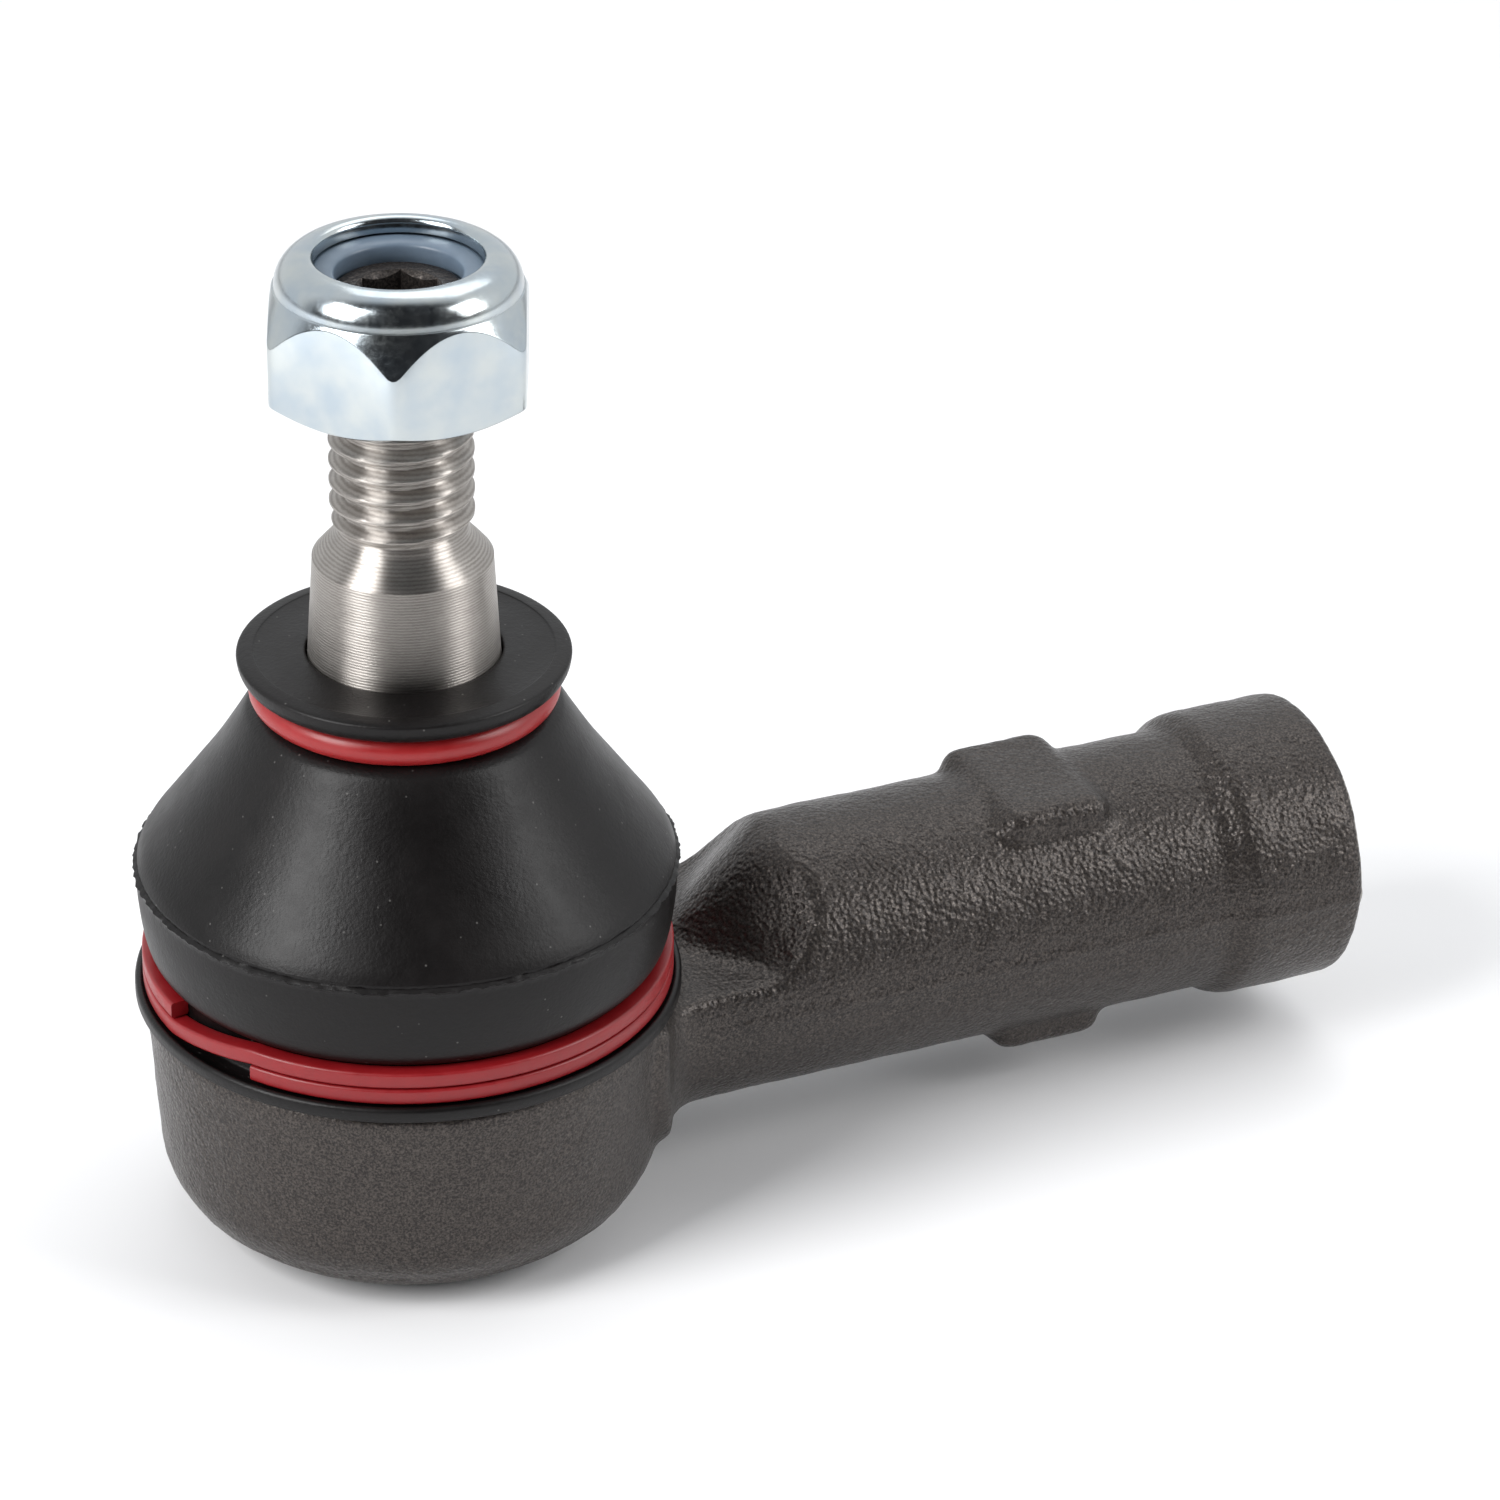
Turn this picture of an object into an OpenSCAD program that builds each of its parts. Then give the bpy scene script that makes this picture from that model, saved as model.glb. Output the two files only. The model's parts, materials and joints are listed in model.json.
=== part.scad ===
// Outer tie rod end: a ball joint in a forged housing with a threaded shank, its dust boot and lock nut.
// The origin is the centre of the housing's underside, +Z runs up the stud and +X along the shank.

/* [Housing] */
// Height of the housing from its underside to the shoulder under the boot
housing_h = 17.5; // [17:0.5:18.5]
// Radius of the housing at the shoulder
shoulder_r = 18.65; // [18.4:0.05:18.9]
// Radius of the housing where its lower edge starts to round over
belly_r = 17.9; // [17.6:0.1:18.2]
// Radius of the rounding at the housing's lower edge
belly_round = 5; // [4.5:0.1:5.5]
// Outer radius of the smooth rim that is rolled in over the closing plate
rim_r = 15.7; // [15.2:0.1:16]
// Height of the rolled rim's outer edge above the underside
rim_h = 2.1; // [1.8:0.1:2.4]
// Radius of the spigot that the foot of the boot grips
spigot_r = 15.6; // [15.2:0.1:15.8]
// Height of the spigot above the shoulder
spigot_h = 3.3; // [2.8:0.1:3.6]

/* [Shank] */
// Distance from the stud's axis to the shank's end face
shank_len = 72; // [68:1:80]
// Height of the shank's axis, which passes through the ball's centre
shank_z = 13.75; // [13.5:0.05:14]
// Radius of the shank
shank_r = 9.83; // [9.5:0.01:10]
// Radius of the collar at the shank's end
collar_r = 10.8; // [10.4:0.1:11.2]
// Length of the collar along its full radius
collar_len = 9; // [7:0.5:11]
// Radius of the tapping drill for the M14 x 1.5 thread
thread_bore_r = 6.25; // [6:0.05:6.4]
// Depth of the threaded bore from the shank's end face
thread_bore_depth = 38; // [30:1:42]
// Height of the scooped neck's floor, next to the cup
scoop_floor_z = 16.5; // [16:0.1:17]
// Where the scoop reaches the top of the shank
scoop_end_x = 30; // [28:0.5:31]
// Distance from the stud's axis to the middle of the wrench pads
pad_x = 48.5; // [46:0.5:52]
// Length of a wrench pad at its flat
pad_len = 7.5; // [6:0.5:9]
// Width of a wrench pad across the shank
pad_w = 12.2; // [11:0.2:13]
// Distance from the shank's axis to a wrench pad's flat
pad_rise = 10.05; // [9.9:0.05:10.4]

/* [Ball joint] */
// Radius of the ball
ball_r = 10.5; // [10.3:0.1:10.6]
// Wall of the bearing shells around the ball
shell_wall = 1.16; // [1.1:0.02:1.18]
// Height of the upper shell's rim above the ball's centre
shell_rim_h = 5; // [4.6:0.1:5]
// Radius of the opening that the stud leaves through
mouth_r = 9.75; // [9.7:0.05:9.85]
// Thickness of the closing plate
plate_t = 2.2; // [2:0.1:2.3]
// Radius of the closing plate
plate_r = 13; // [12.8:0.1:13.2]
// Thickness of the preload spring's sheet
spring_t = 0.6; // [0.5:0.05:0.65]

/* [Stud] */
// Radius of the neck above the ball
neck_r = 5.5; // [5.3:0.1:5.6]
// Radius of the seat that turns in the boot's lip
seat_r = 6.95; // [6.9:0.01:6.97]
// Height of the taper's small end
taper_top_z = 51.2; // [50.5:0.1:52]
// Radius of the taper's small end
taper_top_r = 6.19; // [6.1:0.01:6.3]
// Length of taper that widens by one unit in diameter
taper_ratio = 8; // [8:1:10]
// Radius over the crests of the M10 x 1.5 thread
stud_thread_r = 4.93; // [4.9:0.01:4.95]
// Height of the stud's threaded end
stud_top_z = 70.9; // [70.5:0.1:71.5]
// Width across the flats of the socket in the stud's end
socket_af = 5; // [4:0.5:5]
// Depth of the socket
socket_depth = 5; // [4:0.5:6]

/* [Dust boot] */
// Radius of the flange that lies on the shoulder
flange_r = 19.3; // [19:0.1:19.6]
// Radius of the boot at its parting ridge
ridge_r = 19; // [18.8:0.1:19.2]
// Height of the parting ridge
ridge_z = 27.8; // [27:0.1:28.5]
// Radius of the boot under its neck ring
throat_r = 10.9; // [10.6:0.1:11]
// Radius of the brim round the stud
brim_r = 11.5; // [11.2:0.1:11.8]
// Height of the brim's top edge
brim_z = 44.2; // [44:0.1:44.5]
// Bore of the lip that seals on the stud
lip_r = 7; // [7:0.01:7.03]

/* [Boot rings] */
// Radius of the neck ring's round section
neck_ring_section = 1.1; // [1:0.05:1.2]
// Radius over the outside of the neck ring
neck_ring_r = 10.75; // [10.7:0.05:10.8]
// Height of the neck ring
neck_ring_z = 41.3; // [41.2:0.1:41.5]
// Radius over the outside of the clamp ring
clamp_ring_r = 18.7; // [18.6:0.05:18.8]
// Thickness of the clamp ring's wire across the joint
clamp_wire_w = 1.35; // [1.2:0.05:1.4]
// Height of the clamp ring's wire
clamp_wire_h = 1.15; // [1:0.05:1.2]
// Rise from the clamp ring's first turn to its second
clamp_step = 1.28; // [1.24:0.01:1.3]
// Angle of the clamp ring's lower end about the stud's axis
clamp_start = -146.5; // [-180:0.5:0]
// Angle between the clamp ring's two ends
clamp_gap = 25.5; // [20:0.5:40]

/* [Lock nut] */
// Width across the flats of the nut
nut_af = 17; // [16:1:17]
// Height of the nut
nut_h = 10; // [9.8:0.1:10.2]
// Height of the nut's underside on the stud
nut_z = 63.4; // [63:0.1:63.8]
// Angle of one corner of the nut from the shank
nut_clock = 6.5; // [0:0.5:60]
// Radius of the nut's thread, cleared to run over the stud's
nut_bore_r = 4.98; // [4.98:0.01:5]
// Radius of the opening in the nut's crown
crown_r = 5.675; // [5.6:0.025:5.75]
// Bore of the nylon insert
insert_bore_r = 4.275; // [4.2:0.025:4.3]
// Radius of the recess that holds the insert
insert_r = 6.6; // [6.5:0.05:6.7]

/* [Hidden] */
$fn = 96;
running = 0.04;                            // radial clearance of the ball and of the shells
touch = 0.05;                              // gap between pieces that rest against each other
beyond = 0.5;                              // how far a cutter passes the surface it opens
seat_r_in = ball_r + running + shell_wall + running;  // radius of the housing's seat and of the bore under it
spigot_top = housing_h + spigot_h;
rim_break = 0.3;                           // small chamfer on the shoulder and on the spigot
shell_bottom_z = 3;                        // underside of the lower shell
shell_split = 0.1;                         // half the gap between the two shells
grease_hole_r = 4;                         // hole in the lower shell that holds the grease
roll_in = 1.2;                             // how far the rolled rim closes in over the plate
rim_lip = 0.4;                             // how far the rim's foot comes in past the plate's edge
rim_flare = 0.5;                           // how much the band above the rim's edge opens out
band_top = rim_h + 0.85;                   // top of that band, where the forged skin begins
belly_z = 6.4;                             // height where the lower edge starts to round over
spring_hole_r = 6;                         // radii of the conical preload spring
spring_r = 11.2;
collar_x = shank_len - collar_len;
collar_ramp = 2.2;                         // length of the slope up to the collar
collar_chamfer = 0.5;                      // chamfer round the shank's end face
pad_flank = 1.2;                           // how far a pad's sloping ends reach past its flat
scoop_foot_r = 3;                          // concave radius at the foot of the scoop
scoop_brow_r = 8;                          // convex radius where the scoop meets the top of the shank
scoop_slope = 45;
mouth_chamfer = 1;                         // chamfer at the mouth of the threaded bore
drill_tip = thread_bore_r / tan(59);       // cone that the drill leaves
seat_top_z = taper_top_z - 2 * taper_ratio * (seat_r - taper_top_r);
seat_bottom_z = 36.4;                      // where the seat starts to narrow to the neck
neck_top_z = 33.8;                         // where the neck starts to widen to the seat
thread_start_z = 52.8;                     // where the cone above the taper meets the thread
stud_chamfer = 0.8;                        // chamfer on the threaded end
flange_z = housing_h + touch;              // underside of the boot
flange_top = housing_h + 1.2;
groove_r = clamp_ring_r - clamp_wire_w;    // floor of the groove for the clamp ring
flange_break = 0.3;                        // chamfer on the flange's upper edge
band_r = 17.6;                             // radius of the boot just above the clamp ring
band_lean = 0.1;                           // how far the band closes in under the ridge
ridge_drop = 0.8;                          // height of the band's steep top below the ridge
dome_mid = [12.3, 37.5];                   // a point half way up the dome's outside
throat_z = 39.8;                           // where the dome ends under the neck ring
lip_z = 38.6;                              // lower edge of the lip on the stud's seat
dome_in = [8.6, 38.2];                     // corners of the boot's inside, from the lip to the foot
ridge_in = [15.9, 28.6];
band_in = [16.6, 26.6];
foot_in_r = 16.2;
brim_break = 0.9;                          // width of the rounding on the brim's upper edge
dish = 0.1;                                // how far the brim's top falls towards the stud
wire_z = flange_top + touch;               // underside of the clamp ring
groove_top = wire_z + clamp_step + clamp_wire_h + touch;
wire_stations = 6;                         // degrees between two stations along the wire
insert_z = nut_z + 6.6;                    // underside of the insert
insert_entry = stud_thread_r + 0.12;       // wide mouth that guides the thread into the insert
nut_crown_round = 2.3;                     // radius that the crown is rolled to
nut_crown_dip = 0.3;                       // how far the crown falls towards its opening
nut_mouth = 0.5;                           // chamfer where the nut's thread starts
insert_top = nut_z + 8.65;
ring_centre_r = neck_ring_r - neck_ring_section;
brim_foot_z = neck_ring_z + neck_ring_section;  // underside of the brim, over the neck ring

function arc(centre, r, from, to, steps = 10) =
    [for (i = [0:steps]) let (a = from + (to - from) * i / steps) centre + r * [cos(a), sin(a)]];
function ease(t) = let (u = min(1, max(0, t))) u * u * (3 - 2 * u);

// Turns a body made up the Z axis so that it lies along the shank, starting at x.
module along_shank(x) {
    translate([x, 0, shank_z]) rotate([0, 90, 0]) children();
}

// The forged cup with its rounded lower edge, its rolled rim and the spigot for the boot.
module cup() {
    rotate_extrude()
        polygon(concat(
            [[0, 0], [plate_r - rim_lip, 0], [rim_r, rim_h], [rim_r + rim_flare, band_top]],
            arc([belly_r - belly_round, belly_z], belly_round, -asin((belly_z - band_top) / belly_round), 0),
            [[shoulder_r, housing_h - 2 * rim_break], [shoulder_r - rim_break, housing_h],
             [spigot_r, housing_h], [spigot_r, spigot_top - rim_break],
             [spigot_r - rim_break, spigot_top], [0, spigot_top]]));
}

// Everything that is machined out of the cup: the rim's recess, the bore, the ball seat and the mouth.
module cup_bore() {
    seat_rim_h = sqrt(pow(seat_r_in, 2) - pow(mouth_r, 2));
    rotate_extrude()
        polygon(concat(
            [[0, -beyond], [plate_r - roll_in + touch, -beyond], [plate_r - roll_in + touch, 0],
             [plate_r + touch, roll_in], [plate_r + touch, plate_t], [seat_r_in, plate_t]],
            arc([0, shank_z], seat_r_in, 0, asin(seat_rim_h / seat_r_in)),
            [[mouth_r, spigot_top + beyond], [0, spigot_top + beyond]]));
}

// A flat pad for a spanner, forged on the top of the shank.
module wrench_pad() {
    foot_x = pad_len / 2 + pad_flank;
    foot_z = pad_rise - 2;
    translate([pad_x, pad_w / 2, 0]) rotate([90, 0, 0])
        linear_extrude(height = pad_w)
            polygon([[-foot_x, 0], [foot_x, 0], [foot_x, foot_z], [pad_len / 2, pad_rise],
                     [-pad_len / 2, pad_rise], [-foot_x, foot_z]]);
}

// The hollow that leads from the cup's rim up on to the shank.
module scoop() {
    top_z = shank_z + shank_r;
    radii = scoop_foot_r + scoop_brow_r;
    rise = top_z - scoop_floor_z - radii * (1 - cos(scoop_slope));
    foot_x = scoop_end_x - rise / tan(scoop_slope) - radii * sin(scoop_slope);
    translate([0, shank_r + beyond, 0]) rotate([90, 0, 0])
        linear_extrude(height = 2 * (shank_r + beyond))
            polygon(concat(
                [[0, top_z + beyond], [0, scoop_floor_z]],
                arc([foot_x, scoop_floor_z + scoop_foot_r], scoop_foot_r, -90, -90 + scoop_slope, 6),
                arc([scoop_end_x, top_z - scoop_brow_r], scoop_brow_r, 90 + scoop_slope, 90, 6),
                [[scoop_end_x, top_z + beyond]]));
}

module shank() {
    difference() {
        union() {
            along_shank(0) cylinder(r = shank_r, h = shank_len - collar_chamfer);
            along_shank(collar_x - collar_ramp) rotate_extrude()
                polygon([[0, 0], [shank_r, 0], [collar_r, collar_ramp],
                         [collar_r, collar_ramp + collar_len - collar_chamfer],
                         [collar_r - collar_chamfer, collar_ramp + collar_len],
                         [0, collar_ramp + collar_len]]);
            translate([0, 0, shank_z]) {
                wrench_pad();
                mirror([0, 0, 1]) wrench_pad();
            }
        }
        scoop();
    }
}

module threaded_bore() {
    along_shank(shank_len - thread_bore_depth) cylinder(r = thread_bore_r, h = thread_bore_depth + beyond);
    along_shank(shank_len - thread_bore_depth - drill_tip)
        cylinder(r1 = 0, r2 = thread_bore_r, h = drill_tip);
    along_shank(shank_len - mouth_chamfer)
        cylinder(r1 = thread_bore_r, r2 = thread_bore_r + mouth_chamfer, h = mouth_chamfer);
}

module housing() {
    color("#4a4642") difference() {
        union() {
            cup();
            shank();
        }
        cup_bore();
        threaded_bore();
    }
}

// The plate that closes the cup, held by the rim rolled over its chamfer.
module closing_plate() {
    color("#77716b") rotate_extrude()
        polygon([[0, 0], [plate_r - roll_in, 0], [plate_r, roll_in], [plate_r, plate_t], [0, plate_t]]);
}

// A conical washer that presses the shells on to the ball.
module preload_spring() {
    color("#8d9094") rotate_extrude()
        polygon([[spring_hole_r, shell_bottom_z - spring_t], [spring_r, plate_t],
                 [spring_r, plate_t + spring_t], [spring_hole_r, shell_bottom_z]]);
}

module lower_bearing_shell() {
    color("#e9e4d4") difference() {
        translate([0, 0, shell_bottom_z])
            cylinder(r = seat_r_in - running, h = shank_z - shell_split - shell_bottom_z);
        translate([0, 0, shank_z]) sphere(r = ball_r + running);
        translate([0, 0, shell_bottom_z - beyond]) cylinder(r = grease_hole_r, h = ball_r);
    }
}

module upper_bearing_shell() {
    color("#e9e4d4") difference() {
        intersection() {
            translate([0, 0, shank_z]) sphere(r = seat_r_in - running);
            translate([0, 0, shank_z + shell_split]) cylinder(r = seat_r_in, h = shell_rim_h - shell_split);
        }
        translate([0, 0, shank_z]) sphere(r = ball_r + running);
    }
}

// Ball, neck, seat, taper, threaded end and the socket that holds the stud while the nut turns.
module ball_stud() {
    color("#a8a5a0") difference() {
        union() {
            translate([0, 0, shank_z]) sphere(r = ball_r);
            translate([0, 0, shank_z]) rotate_extrude()
                polygon([[0, 0], [neck_r, 0], [neck_r, neck_top_z - shank_z],
                         [seat_r, seat_bottom_z - shank_z], [seat_r, seat_top_z - shank_z],
                         [taper_top_r, taper_top_z - shank_z],
                         [stud_thread_r, thread_start_z - shank_z],
                         [stud_thread_r, stud_top_z - stud_chamfer - shank_z],
                         [stud_thread_r - stud_chamfer, stud_top_z - shank_z],
                         [0, stud_top_z - shank_z]]);
        }
        translate([0, 0, stud_top_z - socket_depth]) rotate([0, 0, nut_clock])
            cylinder(r = socket_af / 2 / cos(30), h = socket_depth + beyond, $fn = 6);
    }
}

// The rubber boot: a foot round the spigot, a band, a dome, a throat and a dished brim on the stud.
module dust_boot() {
    foot_top = spigot_top + 0.7;
    color("#232325") rotate_extrude() difference() {
        polygon([
            [spigot_r + touch, flange_z], [flange_r, flange_z], [flange_r, flange_top - flange_break],
            [flange_r - flange_break, flange_top], [groove_r, flange_top], [groove_r, groove_top],
            [band_r, groove_top], [ridge_r - band_lean, ridge_z - ridge_drop], [ridge_r, ridge_z],
            [ridge_r - 0.5, ridge_z + 0.9], dome_mid, [throat_r, throat_z],
            [throat_r - 0.6, throat_z + 0.4], [brim_r - brim_break, brim_foot_z],
            [brim_r, brim_foot_z + 0.5], [brim_r, brim_z - 0.6], [brim_r - brim_break, brim_z],
            [lip_r, brim_z - dish], [lip_r, lip_z],
            dome_in, ridge_in, band_in, [foot_in_r, foot_top + 0.6], [spigot_r + touch, foot_top]]);
        translate([ring_centre_r, neck_ring_z]) circle(r = neck_ring_section + touch, $fn = 32);
        translate([ring_centre_r, neck_ring_z - neck_ring_section])
            square([2 * neck_ring_section, 2 * neck_ring_section]);
    }
}

// Flat wire wound in two turns, with one short step between them where its two ends stand apart.
module boot_clamp_ring() {
    turned = 720 - clamp_gap;
    count = ceil(turned / wire_stations);
    function lift(a) = clamp_step * ease((a - 360 + clamp_gap) / clamp_gap);
    function station(a) =
        let (z = wire_z + lift(a), dir = clamp_start + a)
        [for (c = [[groove_r + touch, 0], [clamp_ring_r, 0],
                   [clamp_ring_r, clamp_wire_h], [groove_r + touch, clamp_wire_h]])
            [c[0] * cos(dir), c[0] * sin(dir), z + c[1]]];
    points = [for (i = [0:count]) each station(turned * i / count)];
    sides = [for (i = [0:count - 1]) for (j = [0:3])
        let (a = 4 * i + j, b = 4 * i + (j + 1) % 4) each [[a, b, b + 4], [a, b + 4, a + 4]]];
    last = 4 * count;
    color("#a3262a")
        polyhedron(points = points,
                   faces = concat(sides, [[3, 2, 1, 0], [last, last + 1, last + 2, last + 3]]));
}

// The smooth ring that squeezes the boot's throat round the stud.
module boot_neck_ring() {
    color("#a3262a") rotate_extrude()
        translate([ring_centre_r, neck_ring_z]) circle(r = neck_ring_section, $fn = 32);
}

// The nylon ring that grips the stud's thread once the nut is down.
module nut_insert() {
    swell = 0.2;                            // how far its rolled top stands up inside the crown
    color("#8fa3b5") rotate_extrude()
        polygon([[insert_entry, insert_z], [insert_r - touch, insert_z],
                 [insert_r - touch, insert_top - swell], [crown_r, insert_top + swell],
                 [insert_bore_r, insert_top], [insert_bore_r, insert_z + 0.95],
                 [insert_entry, insert_z + 0.15]]);
}

module lock_nut() {
    corner_r = nut_af / 2 / cos(30);
    collar = nut_af / 2 - 0.08;             // radius of the round collar over the flats
    foot = [collar, 0];                     // chamfer under the corners, and the slope over them
    foot_rise = 0.6;
    brow_z = 4.8;
    brow_rise = 2.9;
    past = 0.5;                             // how far the revolved outline passes the corners
    color("#c9ced2") translate([0, 0, nut_z]) difference() {
        intersection() {
            rotate([0, 0, nut_clock]) cylinder(r = corner_r, h = nut_h, $fn = 6);
            rotate_extrude()
                polygon(concat(
                    [[0, 0], foot, foot + (corner_r + past - collar) * [1, foot_rise],
                     [corner_r + past, brow_z - past * brow_rise / (corner_r - collar)],
                     [collar, brow_z + brow_rise]],
                    arc([collar - nut_crown_round, nut_h - nut_crown_round], nut_crown_round, 0, 90, 6),
                    [[crown_r, nut_h - nut_crown_dip], [0, nut_h - nut_crown_dip]]));
        }
        translate([0, 0, -beyond]) cylinder(r = nut_bore_r, h = nut_h);
        translate([0, 0, -0.1]) cylinder(r1 = nut_bore_r + nut_mouth, r2 = nut_bore_r, h = nut_mouth);
        translate([0, 0, insert_z - nut_z]) rotate_extrude()
            polygon([[0, 0], [insert_r, 0], [insert_r, insert_top - insert_z - 0.15],
                     [crown_r + touch, insert_top - insert_z + 0.25],
                     [crown_r + touch, nut_h], [0, nut_h]]);
    }
}

housing();
closing_plate();
preload_spring();
lower_bearing_shell();
upper_bearing_shell();
ball_stud();
dust_boot();
boot_clamp_ring();
boot_neck_ring();
nut_insert();
lock_nut();
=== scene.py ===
import json
import math
import bmesh
import bpy
from mathutils import Matrix, Vector, noise


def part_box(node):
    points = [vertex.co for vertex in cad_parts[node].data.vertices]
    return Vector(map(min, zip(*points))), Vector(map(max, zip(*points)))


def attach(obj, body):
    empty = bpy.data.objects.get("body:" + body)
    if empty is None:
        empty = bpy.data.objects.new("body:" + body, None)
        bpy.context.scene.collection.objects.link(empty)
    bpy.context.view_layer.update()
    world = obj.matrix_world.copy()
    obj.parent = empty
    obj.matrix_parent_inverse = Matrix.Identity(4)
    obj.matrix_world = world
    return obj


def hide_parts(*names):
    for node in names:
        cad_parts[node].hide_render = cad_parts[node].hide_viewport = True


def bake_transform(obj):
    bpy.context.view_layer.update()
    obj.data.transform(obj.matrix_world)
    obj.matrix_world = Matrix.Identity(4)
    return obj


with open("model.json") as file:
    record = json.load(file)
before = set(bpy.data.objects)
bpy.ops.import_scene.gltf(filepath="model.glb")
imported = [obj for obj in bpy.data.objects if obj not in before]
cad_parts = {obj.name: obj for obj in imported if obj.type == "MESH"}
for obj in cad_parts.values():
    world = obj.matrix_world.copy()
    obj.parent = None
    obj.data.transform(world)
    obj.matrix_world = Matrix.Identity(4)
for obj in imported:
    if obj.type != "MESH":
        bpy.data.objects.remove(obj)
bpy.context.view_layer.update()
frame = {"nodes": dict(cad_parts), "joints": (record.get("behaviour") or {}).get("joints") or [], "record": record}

# ---- Setting -------------------------------------------------------------------------------
# A white table under two soft boxes, one to the left of the camera and one to the right, with a
# bright backdrop behind and a dim room in front, as small steel parts are lit.
MM = 0.001


def add_node(tree, kind, links=None, **settings):
    """Adds one node, sets its properties, and feeds its sockets with values or other nodes' outputs."""
    made = tree.nodes.new(kind)
    for name, value in settings.items():
        setattr(made, name, value)
    for socket, value in (links or {}).items():
        if isinstance(value, bpy.types.NodeSocket):
            tree.links.new(value, made.inputs[socket])
        else:
            made.inputs[socket].default_value = value
    return made


def linear(colour):
    """Turns an sRGB hex colour into the linear red, green, blue and alpha that sockets take."""
    parts = [int(colour[i:i + 2], 16) / 255 for i in (1, 3, 5)]
    return [p / 12.92 if p <= 0.04045 else ((p + 0.055) / 1.055) ** 2.4 for p in parts] + [1.0]


view_azimuth = math.radians(24.86)     # where the camera stands, as a turn about the stud's axis
view_elevation = math.radians(28.83)
view_roll = math.radians(1.12)
view_distance = 389.3 * MM
shoulder = Vector((0, 0, 17.5 * MM))   # middle of the housing's shoulder, which the view is set out from
onward = Vector((math.sin(view_azimuth), math.cos(view_azimuth), 0))
rightward = Vector((math.cos(view_azimuth), -math.sin(view_azimuth), 0))
sight = onward * math.cos(view_elevation) - Vector((0, 0, math.sin(view_elevation)))
level_up = rightward.cross(sight)
side = rightward * math.cos(view_roll) + level_up * math.sin(view_roll)
up = level_up * math.cos(view_roll) - rightward * math.sin(view_roll)
aim = shoulder + side * 24.12 * MM + up * 16.16 * MM

camera_data = bpy.data.cameras.new("camera")
camera_data.lens = 132
camera_data.sensor_width = 36
camera_data.clip_start = 0.01
camera = bpy.data.objects.new("camera", camera_data)
camera.matrix_world = Matrix((side, up, -sight)).transposed().to_4x4()
camera.matrix_world.translation = aim - sight * view_distance
bpy.context.scene.collection.objects.link(camera)
bpy.context.scene.camera = camera
bpy.context.scene.view_settings.view_transform = "Standard"


def soft_box(name, turn, elevation, distance, width, height, watts, colour="#ffffff"):
    """Hangs a lamp at a turn from the camera's side of the object, aimed at the middle of it."""
    data = bpy.data.lights.new(name, "AREA")
    data.shape = "RECTANGLE"
    data.size = width
    data.size_y = height
    data.energy = watts
    data.color = linear(colour)[:3]
    lamp = bpy.data.objects.new(name, data)
    turn, elevation = math.radians(turn), math.radians(elevation)
    level = rightward * math.sin(turn) - onward * math.cos(turn)
    target = shoulder + rightward * 15 * MM + Vector((0, 0, 15 * MM))
    away = level * math.cos(elevation) + Vector((0, 0, math.sin(elevation)))
    lamp.matrix_world = away.to_track_quat("Z", "Y").to_matrix().to_4x4()
    lamp.matrix_world.translation = target + away * distance
    bpy.context.scene.collection.objects.link(lamp)


soft_box("left_box", -54, 34, 0.60, 0.28, 0.42, 4.0)
soft_box("right_box", 76, 30, 0.62, 0.24, 0.42, 2.0)
soft_box("back_box", 165, 60, 0.75, 0.60, 0.40, 1.0)

room = bpy.data.worlds.new("room")
room.use_nodes = True
room.node_tree.nodes.clear()
tree = room.node_tree
heading = add_node(tree, "ShaderNodeTexCoord").outputs["Generated"]
toward_camera = add_node(tree, "ShaderNodeVectorMath", {0: heading, 1: -onward}, operation="DOT_PRODUCT")
dimming = add_node(tree, "ShaderNodeMapRange", {
    "Value": toward_camera.outputs["Value"], "From Min": -0.15, "From Max": 0.30},
    interpolation_type="SMOOTHSTEP")
all_round = add_node(tree, "ShaderNodeMix", {
    "Factor": dimming.outputs[0], 6: linear("#eff1f3"), 7: linear("#292a2d")}, data_type="RGBA")
glow = add_node(tree, "ShaderNodeBackground", {"Color": all_round.outputs[2], "Strength": 1.0})
add_node(tree, "ShaderNodeOutputWorld", {"Surface": glow.outputs[0]})
bpy.context.scene.world = room

table_top = bmesh.new()
bmesh.ops.create_grid(table_top, x_segments=1, y_segments=1, size=3.0)
table_mesh = bpy.data.meshes.new("table_top")
table_top.to_mesh(table_mesh)
table_top.free()
table = bpy.data.objects.new("table_top", table_mesh)
bpy.context.scene.collection.objects.link(table)
table_paint = bpy.data.materials.new("white laminate")
table_paint.use_nodes = True
table_paint.node_tree.nodes["Principled BSDF"].inputs["Base Color"].default_value = linear("#f4f4f5")
table_paint.node_tree.nodes["Principled BSDF"].inputs["Roughness"].default_value = 0.8
table_mesh.materials.append(table_paint)

# ---- Housing -------------------------------------------------------------------------------
# One drop forging: a cup for the ball and a round shank with two spanner pads, shot-blasted and
# oiled dark. The cup is then bored from below and the shank drilled and tapped M14 x 1.5.
record = frame["record"]
mounts = {m["name"]: m for m in record["mounts"]}
joints = {j["name"]: j for j in frame["joints"]}
tapped = mounts["shank_thread"]
axis_z = tapped["pos_m"][2] / MM
tap_r = tapped["dims"]["r_mm"]
shank_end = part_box("housing")[1][0] / MM
cup_h = 17.5
belly_r, shoulder_r, belly_round = 17.9, 18.65, 5.0
rim_r, rim_h, rim_foot_r, band_top, belly_z = 15.7, 2.1, 12.65, 2.95, 6.4
spigot_r, spigot_h = 15.6, 3.3
spigot_top = cup_h + spigot_h
shank_r, collar_r, collar_start, collar_foot = 9.83, 10.8, 63.0, 60.8
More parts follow.
